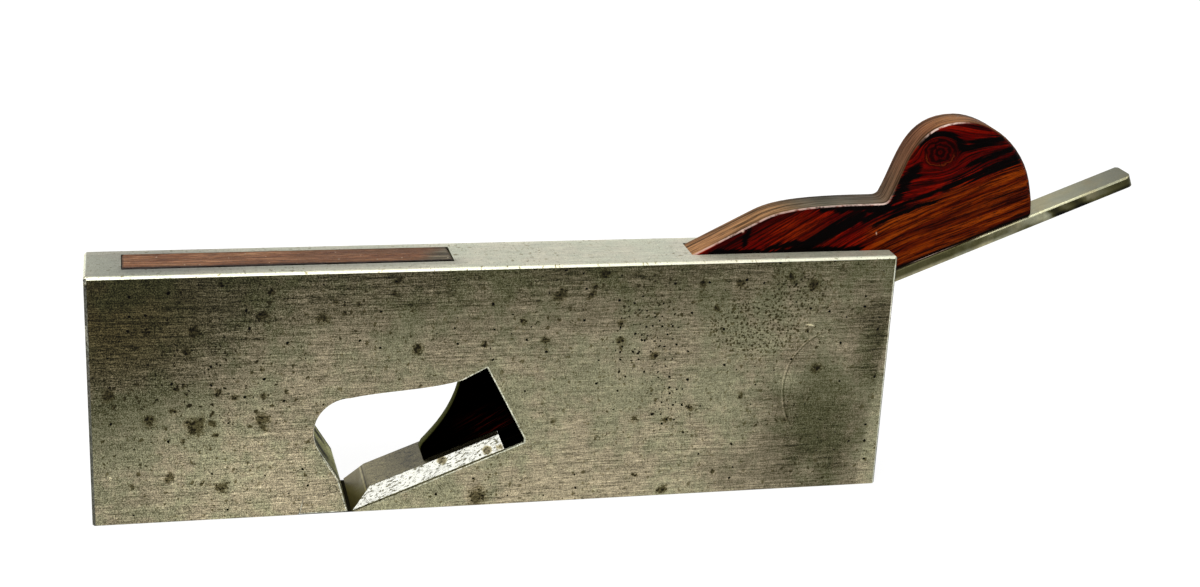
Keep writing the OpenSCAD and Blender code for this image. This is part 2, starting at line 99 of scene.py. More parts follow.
class Graph:
    """Node tree of a material or world, written as calls that return sockets. Lengths are in millimetres."""

    def __init__(self, owner):
        owner.use_nodes = True
        self.owner, self.tree = owner, owner.node_tree
        self.tree.nodes.clear()

    def put(self, socket, value):
        if isinstance(value, bpy.types.NodeSocket):
            self.tree.links.new(value, socket)
        elif isinstance(value, (tuple, list)) and len(value) == 3 and socket.type == "RGBA":
            socket.default_value = (*value, 1)
        else:
            socket.default_value = value

    def add(self, kind, inputs=None, **settings):
        made = self.tree.nodes.new("ShaderNode" + kind)
        for key, value in settings.items():
            setattr(made, key, value)
        for key, value in (inputs or {}).items():
            self.put(made.inputs[key], value)
        return made

    def math(self, operation, a, b=0.5):
        return self.add("Math", {0: a, 1: b}, operation=operation).outputs[0]

    def plus(self, *values):
        total = values[0]
        for value in values[1:]:
            total = self.math("ADD", total, value)
        return total

    def minus(self, a, b):
        return self.math("SUBTRACT", a, b)

    def times(self, *values):
        total = values[0]
        for value in values[1:]:
            total = self.math("MULTIPLY", total, value)
        return total

    def size(self, value):
        """Number without its sign."""
        return self.math("ABSOLUTE", value)

    def most(self, *values):
        top = values[0]
        for value in values[1:]:
            top = self.math("MAXIMUM", top, value)
        return top

    def vector(self, operation, a, b=(0, 0, 0)):
        made = self.add("VectorMath", {0: a, 1: b}, operation=operation)
        return made.outputs["Value" if operation in ("LENGTH", "DISTANCE", "DOT_PRODUCT") else "Vector"]

    def scaled(self, value, factor):
        made = self.add("VectorMath", {0: value}, operation="SCALE")
        self.put(made.inputs["Scale"], factor)
        return made.outputs[0]

    def join(self, x, y, z=0.0):
        return self.add("CombineXYZ", {0: x, 1: y, 2: z}).outputs[0]

    def split(self, value):
        return self.add("SeparateXYZ", {0: value}).outputs

    def span(self, value, low, high, to_low=0.0, to_high=1.0, smooth=True):
        """Number from to_low to to_high as the value goes from low to high, held beyond both."""
        kind = "SMOOTHSTEP" if smooth else "LINEAR"
        return self.add("MapRange", {0: value, 1: low, 2: high, 3: to_low, 4: to_high},
                        interpolation_type=kind).outputs[0]

    def mix(self, share, a, b):
        """Colour between a and b."""
        made = self.add("Mix", data_type="RGBA")
        for key, value in ((0, share), (6, a), (7, b)):
            self.put(made.inputs[key], value)
        return made.outputs[2]

    def blend(self, share, a, b):
        """Number between a and b."""
        made = self.add("Mix", data_type="FLOAT")
        for key, value in ((0, share), (2, a), (3, b)):
            self.put(made.inputs[key], value)
        return made.outputs[0]

    def ramp(self, value, stops):
        """Colour along a ramp; a stop is a place from 0 to 1 and a grey level or a colour."""
        made = self.add("ValToRGB", {0: value})
        ramp = made.color_ramp
        ramp.interpolation = "CARDINAL"
        while len(ramp.elements) < len(stops):
            ramp.elements.new(1)
        for element, (place, colour) in zip(ramp.elements, stops):
            element.position = place
            element.color = (*colour, 1) if isinstance(colour, tuple) else (colour, colour, colour, 1)
        return made.outputs[0]

    def noise(self, where, scale=1.0, detail=3, roughness=0.5, distortion=0.0):
        return self.add("TexNoise", {"Vector": where, "Scale": scale, "Detail": detail,
                                     "Roughness": roughness, "Distortion": distortion}).outputs[0]

    def swing(self, where, scale=1.0, detail=3, roughness=0.5, reach=1.0):
        """Noise around zero that swings to about reach each way."""
        return self.times(self.minus(self.noise(where, scale, detail, roughness), 0.5), 2.6 * reach)

    def warped(self, where, scale, reach, detail=3):
        """The place where, pushed about by a noise of that scale and reach."""
        made = self.add("TexNoise", {"Vector": where, "Scale": scale, "Detail": detail})
        push = self.vector("SUBTRACT", made.outputs["Color"], (0.5, 0.5, 0.5))
        return self.vector("ADD", where, self.scaled(push, 2 * reach))

    def dots(self, where, pitch, radius, share, soft=0.5):
        """Round spots on a plane, a given share of the cells of one pitch holding one."""
        made = self.add("TexVoronoi", {"Vector": self.scaled(where, 1 / pitch), "Scale": 1.0},
                        voronoi_dimensions="2D")
        chance, weight, _ = self.split(made.outputs["Color"])
        limit = self.times(self.span(weight, 0, 1, 0.45, 1.0), radius / pitch)
        inside = self.minus(1.0, self.math("DIVIDE", made.outputs["Distance"], limit))
        held = self.math("LESS_THAN", chance, share)
        return self.times(self.span(inside, 0, soft), held)

    def spot(self, where, place, reach, power=1.0):
        """Soft patch of 1 at a place, fading to 0 at reach, given as two or three lengths."""
        away = self.vector("SUBTRACT", where, place)
        away = self.vector("DIVIDE", away, reach)
        return self.span(self.vector("LENGTH", away), 1.0, 0.0, 0.0, power)

    def from_middle(self, where, start, end):
        """Distances from the middle of a line, along it and across it, and half its length."""
        length = math.dist(start, end)
        along = ((end[0] - start[0]) / length, (end[1] - start[1]) / length, 0)
        across = (-along[1], along[0], 0)
        middle = ((start[0] + end[0]) / 2, (start[1] + end[1]) / 2, 0)
        away = self.vector("SUBTRACT", where, middle)
        u = self.size(self.vector("DOT_PRODUCT", away, along))
        v = self.size(self.vector("DOT_PRODUCT", away, across))
        return u, v, length / 2

    def stroke(self, where, start, end, width):
        """Thin straight mark between two places on the plane of X and Y of where."""
        u, v, half = self.from_middle(where, start, end)
        return self.times(self.span(v, width, 0.3 * width), self.span(u, half, half - 1))

    def vein(self, where, start, end, width):
        """Soft mark between two places, highest along its middle and tapered at its ends."""
        u, v, half = self.from_middle(where, start, end)
        return self.times(self.span(v, width, 0, smooth=False), self.span(u, half + 3, half - 4))

    def ring(self, where, place, radius, width):
        """Thin circle round a place."""
        away = self.vector("DISTANCE", where, place)
        return self.span(self.size(self.minus(away, radius)), width, 0.2 * width)

    def millimetres(self):
        return self.scaled(self.add("TexCoord").outputs["Object"], 1000.0)

    def facing(self):
        """Parts of the true normal."""
        return self.split(self.add("NewGeometry").outputs["True Normal"])

    def seen(self, colour):
        """A colour written as it is seen on a screen, turned into light."""
        return self.add("Gamma", {0: colour, 1: 2.2}).outputs[0]

    def bump(self, height, depth, strength):
        """Relief of that depth in millimetres."""
        return self.add("Bump", {"Height": height, "Distance": depth * MM, "Strength": strength}).outputs[0]

    def finish(self, **inputs):
        shader = self.add("BsdfPrincipled", {key.replace("_", " "): value for key, value in inputs.items()})
        self.add("OutputMaterial", {"Surface": shader.outputs[0]})
        return self.owner


def rgb(red, green, blue):
    """Screen colour, each part from 0 to 255."""
    return (red / 255, green / 255, blue / 255)


# Marks on the near side of the body, as distance from the toe, height and radius
STAINS = [
    (28.2, 28.4, 2.7), (46.4, 29.6, 1.9), (46.7, 27.0, 1.1), (16.0, 30.5, 1.7), (22.5, 33.2, 1.0),
    (32.7, 29.0, 1.1), (33.6, 25.7, 1.0), (24.7, 24.4, 0.8), (20.9, 13.5, 1.4), (10.9, 11.1, 0.9),
    (35.1, 9.6, 1.9), (34.3, 38.0, 1.1), (23.3, 39.8, 1.0), (25.3, 40.3, 0.6), (46.8, 36.5, 0.9),
    (52.7, 37.4, 0.8), (38.9, 36.2, 1.0), (46.2, 44.4, 0.8), (43.8, 43.5, 0.6), (26.2, 50.4, 1.2),
    (89.0, 48.7, 1.5), (15.7, 56.3, 1.1), (28.3, 56.2, 1.6), (46.6, 60.0, 1.5), (63.1, 58.7, 1.7),
    (68.6, 60.0, 0.7), (72.4, 62.8, 0.8), (66.2, 63.4, 0.7), (35.6, 69.3, 0.8), (49.1, 66.9, 1.0),
    (24.9, 67.8, 0.6), (83.2, 69.2, 1.1), (82.5, 65.5, 1.0), (107.0, 2.6, 2.8), (118.5, 55.9, 1.1),
    (107.7, 49.5, 1.0), (125.2, 50.0, 1.2), (128.9, 63.3, 2.0), (137.7, 63.2, 1.3), (138.4, 65.6, 0.9),
    (141.3, 69.1, 1.5), (146.7, 54.5, 0.9), (147.0, 49.2, 1.3), (157.2, 44.3, 1.4), (152.4, 24.5, 1.2),
    (161.6, 24.1, 1.0), (128.6, 25.1, 0.9), (170.4, 65.6, 1.0), (181.2, 65.1, 1.4), (196.7, 67.1, 1.3),
    (203.5, 64.0, 1.8), (174.9, 58.2, 1.0), (206.7, 38.1, 1.6), (169.1, 27.5, 1.0), (183.9, 30.7, 0.9),
    (153.4, 7.1, 0.9), (161.8, 1.6, 1.6), (198.1, 22.3, 0.8), (5.5, 38.7, 1.8), (177.0, 6.7, 0.8),
]
# Thin dark marks there, from one place to another, with their width
SCRATCHES = [
    ((86.3, 67.6), (101.2, 67.8), 0.16), ((83.6, 64.8), (86.5, 66.6), 0.14),
    ((87.2, 59.6), (88.9, 61.8), 0.18), ((20.5, 63.4), (24.5, 63.6), 0.2),
    ((111.4, 41.6), (119.8, 22.8), 0.1), ((114.2, 38.3), (117.8, 23.3), 0.1),
    ((8.2, 17.6), (59.4, 17.2), 0.12), ((60.0, 9.5), (44.0, 4.5), 0.14), ((95.0, 8.0), (97.5, 4.0), 0.2),
]
# Light scratches there, with their width and strength
SCUFFS = [((201.7, 52.1), (205.1, 51.5), 0.3, 1.4), ((27.9, 48.5), (54.5, 48.2), 0.16, 0.35),
          ((70.0, 63.0), (80.0, 63.1), 0.14, 0.3), ((120.0, 58.0), (131.0, 58.2), 0.13, 0.3)]
# Black veins of the wedge, from one place to another, as distance behind mid length and height, and width
VEINS = [
    ((103.0, 81.0), (131.0, 91.8), 1.5), ((126.0, 90.0), (143.0, 96.2), 2.6),
    ((138.0, 94.4), (154.0, 100.2), 3.2), ((134.0, 96.6), (151.0, 103.4), 1.5),
    ((107.0, 79.6), (128.0, 87.8), 0.9), ((83.0, 70.6), (106.0, 85.4), 3.4),
    ((90.0, 85.6), (115.0, 85.4), 2.2), ((113.0, 87.0), (120.5, 99.0), 3.4),
    ((129.0, 104.8), (138.0, 101.8), 2.2), ((133.0, 102.2), (147.0, 106.4), 2.8),
    ((68.6, 73.0), (70.6, 80.4), 1.7), ((58.0, 72.6), (106.0, 72.6), 1.9),
    ((95.0, 77.4), (105.0, 82.4), 1.8), ((74.0, 73.4), (88.0, 75.4), 1.8),
]


def flat_place(g, place, ny, nz):
    """Place on the plane that a face lies in, as distance from the toe and height or width."""
    x, y, z = g.split(place)
    along = g.plus(x, BODY_L / 2)
    side = g.join(along, z)
    top = g.join(along, g.plus(y, 300))
    end = g.join(g.plus(y, 500), z)
    upright = g.mix(g.math("GREATER_THAN", g.size(ny), 0.6), end, side)
    return g.mix(g.math("GREATER_THAN", g.size(nz), 0.6), upright, top)


def side_tone(g, place, flat, along, z, cloud):
    """Tone of the sides: a painted reflection and shade that makes them dark under the top edge and at the
    toe and light low down, and dull at the heel.
    """
    # Painted reflection and shade: the tone goes by height, darker towards the top edge and the toe
    fall = g.plus(z, g.span(along, 70, 0, 0, 30), g.times(cloud, 4))
    tone = g.ramp(g.times(fall, 0.01), [(0.0, 0.58), (0.2, 0.54), (0.38, 0.505), (0.5, 0.465),
                                        (0.6, 0.385), (0.7, 0.29), (0.8, 0.235), (1.0, 0.2)])
    tone = g.plus(g.split(tone)[0], g.spot(flat, (42, 15, 0), (42, 25, 1), 0.075))
    tone = g.plus(tone, g.times(g.span(along, 150, 205, 0, 0.05), g.span(z, 50, 66)))
    soft = g.warped(flat, 0.05, 1.2, 1)
    dull = g.most(g.spot(soft, (209, 13, 0), (34, 46, 1), 0.27),
                  g.spot(soft, (226, 44, 0), (20, 26, 1), 0.25),
                  g.spot(soft, (185, 7, 0), (22, 15, 1), 0.14))
    border = g.plus(g.minus(along, g.times(z, 0.10)), g.swing(place, 0.12, 2, 0.5, 0.5))
    rim = g.times(g.span(border, 221.2, 223.4), g.span(z, 56, 46))
    return g.minus(tone, g.times(dull, g.span(rim, 0, 1, 1.0, 0.3)))


def top_tone(g, place, along, y):
    """Tone of the top, painted lighter than the sides as lit from above: duller at the toe, grimy along the
    wood, lighter at the far edge.
    """
    # Painted light: the top's base tone is lighter than the sides'
    tone = g.split(g.ramp(g.times(along, 1 / BODY_L), [
        (0.0, 0.60), (0.03, 0.55), (0.12, 0.55), (0.19, 0.63), (0.35, 0.68), (0.45, 0.735), (1.0, 0.75)]))[0]
    wander = g.plus(y, g.swing(place, 0.3, 3, 0.6, 0.5))
    grime = g.times(g.span(wander, -9.4, -6.6), g.span(wander, -2, -4), g.span(along, 7, 13),
                    g.span(along, 106, 98))
    return g.plus(tone, g.times(grime, -0.11), g.span(y, 6.5, 10, 0, 0.05))


def stained(g, place, flat, near, side, patch):
    """Stains at their places on the near side, small ones all over, and two fields of pits."""
    ragged = g.warped(g.warped(flat, 0.45, 1.3), 1.9, 0.5, 3)
    nearest = None
    for start, height, radius in STAINS:
        away = g.times(g.vector("DISTANCE", ragged, (start, height, 0)), 1 / radius)
        nearest = away if nearest is None else g.math("MINIMUM", nearest, away)
    inner = g.plus(nearest, g.swing(place, 1.3, 4, 0.75, 0.75))
    core = g.dots(ragged, 0.95, 0.55, 0.8, 0.35)
    halo = g.plus(g.times(g.span(inner, 1.4, 0.9), 0.14), g.times(g.span(inner, 0.9, 0.65), 0.28))
    core = g.times(core, g.span(inner, 1.15, 0.8), 0.32)
    stain = g.times(g.plus(halo, core), near)

    busy = g.span(g.noise(g.vector("ADD", place, (40, 0, 15)), 0.05, 3, 0.6), 0.38, 0.62, 0.3, 0.9)
    busy = g.most(busy, g.spot(flat, (34, 40, 0), (52, 36, 1), 1.35))
    small = g.times(g.dots(ragged, 3.2, 0.62, 0.42, 0.35), busy)
    tiny = g.times(g.dots(ragged, 1.6, 0.36, 0.42, 0.4), busy)
    specks = g.dots(g.warped(flat, 1.6, 0.3, 2), 1.0, 0.2, 0.34)
    smudge = g.span(g.noise(g.vector("ADD", flat, (3, 8, 0)), 0.34, 5, 0.72), 0.57, 0.70)
    dense = g.most(g.spot(flat, (187, 52, 0), (24, 16, 1)), g.spot(flat, (198, 62, 0), (20, 11, 1), 0.9))
    dense = g.times(g.span(g.plus(dense, g.times(patch, 0.2)), 0.12, 0.6), side)
    pocks = g.times(g.dots(g.warped(flat, 0.8, 0.7), 1.0, 0.46, 0.85, 0.4), dense)
    sparse = g.most(g.spot(flat, (154, 49, 0), (16, 22, 1)), g.spot(flat, (162, 30, 0), (8, 14, 1)))
    sparse = g.times(sparse, side)
    pits = g.times(g.dots(g.warped(flat, 0.6, 0.6), 1.9, 0.42, 0.62, 0.3), g.span(sparse, 0.1, 0.4))
    pits = g.most(pits, g.times(g.dots(g.warped(flat, 0.9, 0.5), 5.2, 0.5, 0.3, 0.3), side))
    dark = g.most(stain, g.times(small, 0.52), g.times(tiny, 0.54), g.times(specks, 0.42),
                  g.times(smudge, busy, 0.20), g.times(pocks, 0.50), g.times(pits, 0.85))
    return dark, g.most(stain, pits, g.times(pocks, 0.7), small)


def scratched(g, place, flat, near, along, z):
    """Dark marks and arcs, light scuffs, and the ring of the rivet beside the mouth."""
    fine = g.warped(flat, 0.25, 0.4, 2)
    broken = g.span(g.noise(place, 0.45, 3, 0.6), 0.40, 0.58, 0.1, 1.0)
    cut = scuff = 0.0
    for start, end, width in SCRATCHES:
        cut = g.most(cut, g.stroke(fine, start, end, width))
    for start, end, width, power in SCUFFS:
        scuff = g.most(scuff, g.times(g.stroke(fine, start, end, width), power))
    bowed = g.warped(flat, 0.12, 0.7, 2)
    bx, bz, _ = g.split(bowed)
    rise = g.minus(bz, 33.5)
    bowed_more = g.join(bx, g.most(rise, g.times(rise, 0.72)))
    sweep = g.times(g.span(along, 209, 205), g.span(z, 19, 23))
    arc = g.times(g.ring(bowed_more, (213.6, 0, 0), 16.5, 0.26), sweep)
    second = g.times(g.ring(bowed, (187.5, 38.0, 0), 23.0, 0.22), g.span(along, 174, 168),
                     g.span(z, 27, 30), g.span(z, 55, 50), 0.4)
    third = g.times(g.ring(bowed, (176.0, 32.6, 0), 9.0, 0.24), g.span(along, 174, 179), 0.35)
    rivet = g.ring(flat, (MOUTH_RIVET[0] + BODY_L / 2, MOUTH_RIVET[1], 0), 1.1, 0.24)
    cut = g.times(g.most(g.times(g.most(cut, second, third), broken), g.times(arc, 0.8), rivet), near)
    glint = g.times(g.ring(bowed_more, (213.6, 0, 0), 17.05, 0.3), sweep, 0.35)
    return cut, g.times(g.most(g.times(scuff, broken), glint), near)


def body_faces(g, place, ny, nz):
    """Masks that tell the body's faces apart, each 0 or 1."""
    x, y, z = g.split(place)
    sideways, off_middle = g.size(ny), g.size(x)
    faces = SimpleNamespace()
    faces.near = g.math("LESS_THAN", ny, -SIDE_ON)
    faces.side = g.math("GREATER_THAN", sideways, SIDE_ON)
    faces.top = g.times(g.math("GREATER_THAN", nz, TOP_ON), g.math("GREATER_THAN", z, TOP_ZONE))
    faces.end = g.math("GREATER_THAN", off_middle, BODY_L / 2 - 0.9)
    faces.sole = g.times(g.math("LESS_THAN", nz, -TOP_ON), g.math("LESS_THAN", z, 0.5))
    faces.tilted = g.times(g.math("GREATER_THAN", sideways, 0.15), g.math("LESS_THAN", sideways, SIDE_ON))
    faces.crest = g.times(g.math("GREATER_THAN", nz, 0.3), g.math("LESS_THAN", nz, TOP_ON),
                          g.math("GREATER_THAN", z, BODY_H - 1.2))
    faces.corner = g.times(faces.tilted, faces.end, g.math("LESS_THAN", z, BODY_H - 0.4))
    faces.hole = g.times(faces.tilted, g.math("LESS_THAN", z, 48),
                         g.math("LESS_THAN", off_middle, BODY_L / 2 - 2))
    faces.buried = g.times(g.math("GREATER_THAN", x, NOTCH_X), g.minus(1.0, faces.sole),
                           g.math("LESS_THAN", g.size(y), BODY_W / 2 - 0.4))
    faces.inner = g.minus(1.0, g.most(faces.side, faces.top, faces.tilted, faces.sole, faces.end))
    return faces


def wall_tone(g, place, faces, patch):
    """Tone of the ends, the sole and the walls inside, with dark bands of painted reflection beside the
    throat's outer edges, and painted shade on the inner faces behind the iron's head.
    """
    _, y, z = g.split(place)
    wander = g.plus(g.size(y), g.swing(place, 0.13, 1, 0.5, 1.1))
    # Painted reflection: dark bands along the throat's walls
    middle = g.times(g.span(g.size(g.minus(wander, 5.2)), 2.6, 0.8), g.span(g.size(g.minus(z, 20)), 8, 3))
    reflection_bands = g.most(g.span(g.size(g.minus(wander, 9.6)), 0.8, 0.3),
                   g.span(g.size(g.minus(wander, 7.9)), 0.4, 0.1, 0, 0.6), middle)
    wall = g.plus(g.span(y, -4, 8, 0.62, 0.84), g.times(patch, 0.06))
    wall = g.times(wall, g.minus(1.0, g.times(reflection_bands, 0.82)))
    # Painted shade: the inner faces behind the iron's head are nearly black
    wall = g.blend(faces.buried, wall, 0.07)
    wall = g.blend(faces.sole, wall, 0.50)
    return g.blend(faces.end, wall, 0.45)


def steel_tone(g, place, flat, faces, cloud, patch):
    """Tone face by face, then of the eased edges of the top, the ends and the escapement."""
    x, y, z = g.split(place)
    along = g.plus(x, BODY_L / 2)
    crown = top_tone(g, place, along, y)
    tone = g.blend(faces.top, wall_tone(g, place, faces, patch), crown)
    tone = g.blend(faces.side, tone, side_tone(g, place, flat, along, z, cloud))

    # Painted highlight low on the top's eased edges, partly their polish
    glint = g.split(g.ramp(g.times(along, 1 / BODY_L), [
        (0.0, 0.94), (0.06, 0.88), (0.2, 0.94), (0.45, 1.0), (1.0, 1.0)]))[0]
    drop = g.plus(z, g.swing(place, 0.4, 3, 0.6, 0.05))
    tone = g.blend(faces.crest, tone, g.blend(g.span(drop, BODY_H - 0.16, BODY_H - 0.28), crown, glint))

    # Chipped at the toe, a light line at the heel, and a painted highlight on the eased edges round the
    # escapement
    broken = g.span(g.noise(place, 0.7, 3, 0.6), 0.36, 0.6)
    heel_line = g.times(g.plus(g.span(z, 5, 60, 0.66, 0.80), g.times(broken, 0.08)),
                        g.span(g.size(y), BODY_W / 2 - 0.62, BODY_W / 2 - 0.5, 0.3, 1.0))
    chips = g.times(g.span(g.noise(place, 0.33, 3, 0.6), 0.5, 0.6), g.span(z, 40, 66, 0.25, 1.0))
    worn = g.blend(g.span(x, -1, 1), g.blend(chips, 0.30, 0.55), heel_line)
    tone = g.blend(faces.corner, tone, worn)
    return g.blend(faces.hole, tone, g.plus(0.70, g.times(broken, 0.16)))


def brush_marks(g, place, faces, tone, cloud, patch, blotch):
    """Share by which brushed lines, grain and mottling change the tone, and the lines and the grain."""
    x, _, _ = g.split(place)
    lines = g.swing(g.vector("MULTIPLY", place, (0.10, 2.3, 2.3)), 1, 4, 0.7)
    hair = g.swing(g.vector("MULTIPLY", place, (0.34, 5.5, 5.5)), 1, 3, 0.65)
    cross = g.swing(g.vector("MULTIPLY", place, (3.2, 0.9, 0.5)), 1, 3, 0.6)
    grain = g.swing(place, 3.4, 3, 0.75)
    brushed = g.span(g.noise(place, 0.04, 2), 0.35, 0.6, 0.5, 1.0)
    coarse = g.span(g.plus(x, BODY_L / 2), 150, 20, 0.85, 1.3)
    change = g.plus(g.times(lines, brushed, 0.46), g.times(hair, brushed, 0.56), g.times(cross, 0.2),
                    g.times(grain, coarse, 0.80), g.times(blotch, 0.15), g.times(patch, 0.07),
                    g.times(cloud, 0.04))
    groove = g.span(g.noise(g.vector("MULTIPLY", place, (0.04, 4.2, 4.2)), 1, 3, 0.6), 0.565, 0.65)
    change = g.minus(change, g.times(groove, brushed, 0.24))
    deep = g.times(g.span(tone, 0.44, 0.26), faces.side)
    change = g.times(change, g.blend(faces.top, 1.0, 0.34), g.blend(faces.crest, 1.0, 0.25),
                     g.span(deep, 0, 1, 1.0, 1.7))
    return change, lines, hair, grain


def steel_hue(g, place, flat, faces, value, dark, patch, blotch):
    """Hue of the steel: greyer where light, olive where dark, brown in the stains."""
    hue = g.plus(g.noise(place, 0.04, 4, 0.7), g.times(patch, 0.08), g.times(blotch, 0.05))
    warmth = g.span(hue, 0.38, 0.62)
    tint = g.mix(warmth, (1.02, 1.0, 0.80), (1.075, 1.0, 0.825))
    olive = g.mix(warmth, (1.0, 1.0, 0.65), (1.055, 1.0, 0.715))
    tint = g.mix(g.span(value, 0.44, 0.24), tint, olive)
    pale = g.mix(g.span(hue, 0.36, 0.64), (0.99, 1.0, 0.885), (1.02, 1.0, 0.89))
    brown = g.times(g.spot(flat, (5, 60, 0), (34, 24, 1)), g.span(hue, 0.3, 0.6, 0.2, 0.8), faces.near)
    tint = g.mix(brown, tint, (1.12, 1.0, 0.64))
    tint = g.mix(g.most(faces.top, faces.crest, faces.hole, faces.corner), tint, pale)
    tint = g.mix(g.times(dark, 1.2), tint, (1.08, 0.97, 0.62))
    return g.mix(faces.inner, tint, (1.0, 1.0, 0.79))


def body_steel():
    """Old ground steel: olive patina on the sides under a painted reflection and shade, painted brighter on
    top as lit from above, brushed, stained and pitted.
    """
    g = Graph(bpy.data.materials.new("body_steel_worn"))
    place = g.millimetres()
    x, _, z = g.split(place)
    _, ny, nz = g.facing()
    flat = flat_place(g, place, ny, nz)
    faces = body_faces(g, place, ny, nz)
    cloud = g.swing(place, 0.045, 3, 0.55)
    patch = g.swing(place, 0.16, 4, 0.6)
    blotch = g.swing(place, 0.5, 4, 0.65)
    tone = steel_tone(g, place, flat, faces, cloud, patch)
    change, lines, hair, grain = brush_marks(g, place, faces, tone, cloud, patch, blotch)

    # Stains, scratches and a few light sparks over the tone
    dark, pitted = stained(g, place, flat, faces.near, faces.side, patch)
    dark = g.times(dark, g.blend(faces.top, 1.0, 0.7))
    cut, scuff = scratched(g, place, flat, faces.near, g.plus(x, BODY_L / 2), z)
    sparks = g.times(g.dots(g.warped(flat, 0.9, 0.3), 5.0, 0.3, 0.3), g.blend(faces.top, 0.5, 0.9))
    value = g.times(tone, g.plus(1.0, change))
    value = g.times(value, g.minus(1.0, dark), g.minus(1.0, g.times(cut, 0.38)))
    value = g.plus(value, g.times(scuff, 0.26), g.times(sparks, 0.13))
    colour = g.scaled(steel_hue(g, place, flat, faces, value, dark, patch, blotch), value)

    # Walls keep their tone at a grazing view; the steel beside the wedge mirrors it less
    graze = g.mix(faces.inner, (1, 1, 1), g.mix(faces.buried, (0.16, 0.16, 0.08), (0, 0, 0)))
    beside = g.times(g.math("GREATER_THAN", nz, 0.3), g.math("GREATER_THAN", z, TOP_ZONE), g.span(x, 38, 60))
    gloss = g.plus(0.38, g.times(grain, 0.05), g.times(lines, 0.05), g.times(dark, 0.35))
    relief = g.plus(g.times(lines, 0.25), g.times(hair, 0.15), g.times(grain, 0.22),
                    g.times(g.most(pitted, cut), -1.0))
    return g.finish(Base_Color=g.seen(colour), Metallic=g.span(beside, 0, 1, 0.9, 0.25), Roughness=gloss,
                    Specular_Tint=graze, Normal=g.bump(relief, 0.035, 0.7))


def iron_place(g, place):
    """Distance along the bed and height over it."""
    x, _, z = g.split(place)
    back = g.minus(x, BED_FOOT_X)
    u = g.plus(g.times(back, math.cos(BED_ANGLE)), g.times(z, math.sin(BED_ANGLE)))
    w = g.minus(g.times(z, math.cos(BED_ANGLE)), g.times(back, math.sin(BED_ANGLE)))
    return u, w


def head_side(g, laid, grain):
    """Tone of the head's side, painted bright as a highlight, with streaks, stains and painted shade along
    its foot, and the streaks and stains.
    """
    u, _, w = g.split(laid)
    ragged = g.warped(g.join(u, w), 0.9, 0.45)
    bent = g.join(g.plus(g.times(u, 0.42), g.times(w, 0.2)), g.times(g.minus(w, g.times(u, 0.09)), 1.9))
    crowd = g.span(g.plus(g.noise(laid, 0.22, 3), g.span(u, 20, 46, 0, 0.06)), 0.36, 0.58, 0.0, 1.0)
    specks = g.noise(g.warped(bent, 1.5, 0.25), 1.5, 4, 0.7)
    specks = g.span(g.plus(specks, g.times(crowd, 0.05)), 0.585, 0.645)
    dots = g.dots(g.warped(g.scaled(bent, 1.3), 1.2, 0.2), 0.9, 0.26, 0.55)
    smear = g.times(g.span(g.noise(bent, 0.55, 4, 0.7), 0.46, 0.64), crowd)
    spots = g.most(g.spot(ragged, (28.9, 3.1, 0), (2.4, 1.6, 1)),
                   g.spot(ragged, (42.0, 1.4, 0), (2.4, 1.8, 1)),
                   g.spot(ragged, (45.6, 1.1, 0), (1.9, 1.4, 1), 0.7))
    spots = g.span(g.plus(spots, g.swing(laid, 1.2, 3, 0.7, 0.25)), 0.15, 0.75)
    marks = g.plus(g.times(specks, 0.34), g.times(dots, 0.30), g.times(smear, 0.12), g.times(spots, 0.52))
    # Painted highlight: the tilted side gets a bright base tone
    highlit_side = g.times(g.plus(0.64, g.times(grain, 0.07)), g.span(marks, 0, 0.8, 1.0, 0.25, smooth=False))
    # Painted shade along the foot, at the seam with the bed
    return g.times(highlit_side, g.minus(1.0, g.times(g.span(w, 0.36, 0.16), 0.72))), specks, spots


def head_top(g, laid, patch, grain, lines):
    """Tone of the head's pitted top, and its pits."""
    u, y, _ = g.split(laid)
    pitted = g.dots(g.warped(g.join(u, y), 0.8, 0.3), 1.5, 0.42, 0.5)
    slanted = g.join(g.times(u, 0.3), g.times(g.plus(y, g.times(u, 0.3)), 0.8))
    streaks = g.span(g.noise(g.warped(slanted, 0.8, 0.4), 0.9, 4, 0.65), 0.56, 0.68)
    upper = g.plus(g.span(u, 8, 22, 0.46, 0.335), g.times(patch, 0.10), g.times(grain, 0.28),
                   g.times(lines, 0.08), g.times(pitted, -0.14), g.times(streaks, -0.17))
    return upper, pitted


def bevel_tone(g, laid, grain, lines):
    """Tone of the bevel, which ends in a light line and a dark one."""
    u, y, _ = g.split(laid)
    slope = g.plus(g.span(g.plus(u, g.times(y, 0.12)), -2, 7.5, 0.34, 0.40), g.times(grain, 0.05),
                   g.times(lines, 0.05),
                   g.times(g.span(g.noise(laid, 0.35, 2), 0.4, 0.6), g.span(u, 2, 6), 0.08))
    return g.plus(slope, g.span(g.size(g.minus(u, 5.75)), 0.35, 0.1, 0, 0.16),
                  g.span(g.size(g.minus(u, 6.35)), 0.3, 0.1, 0, -0.2))


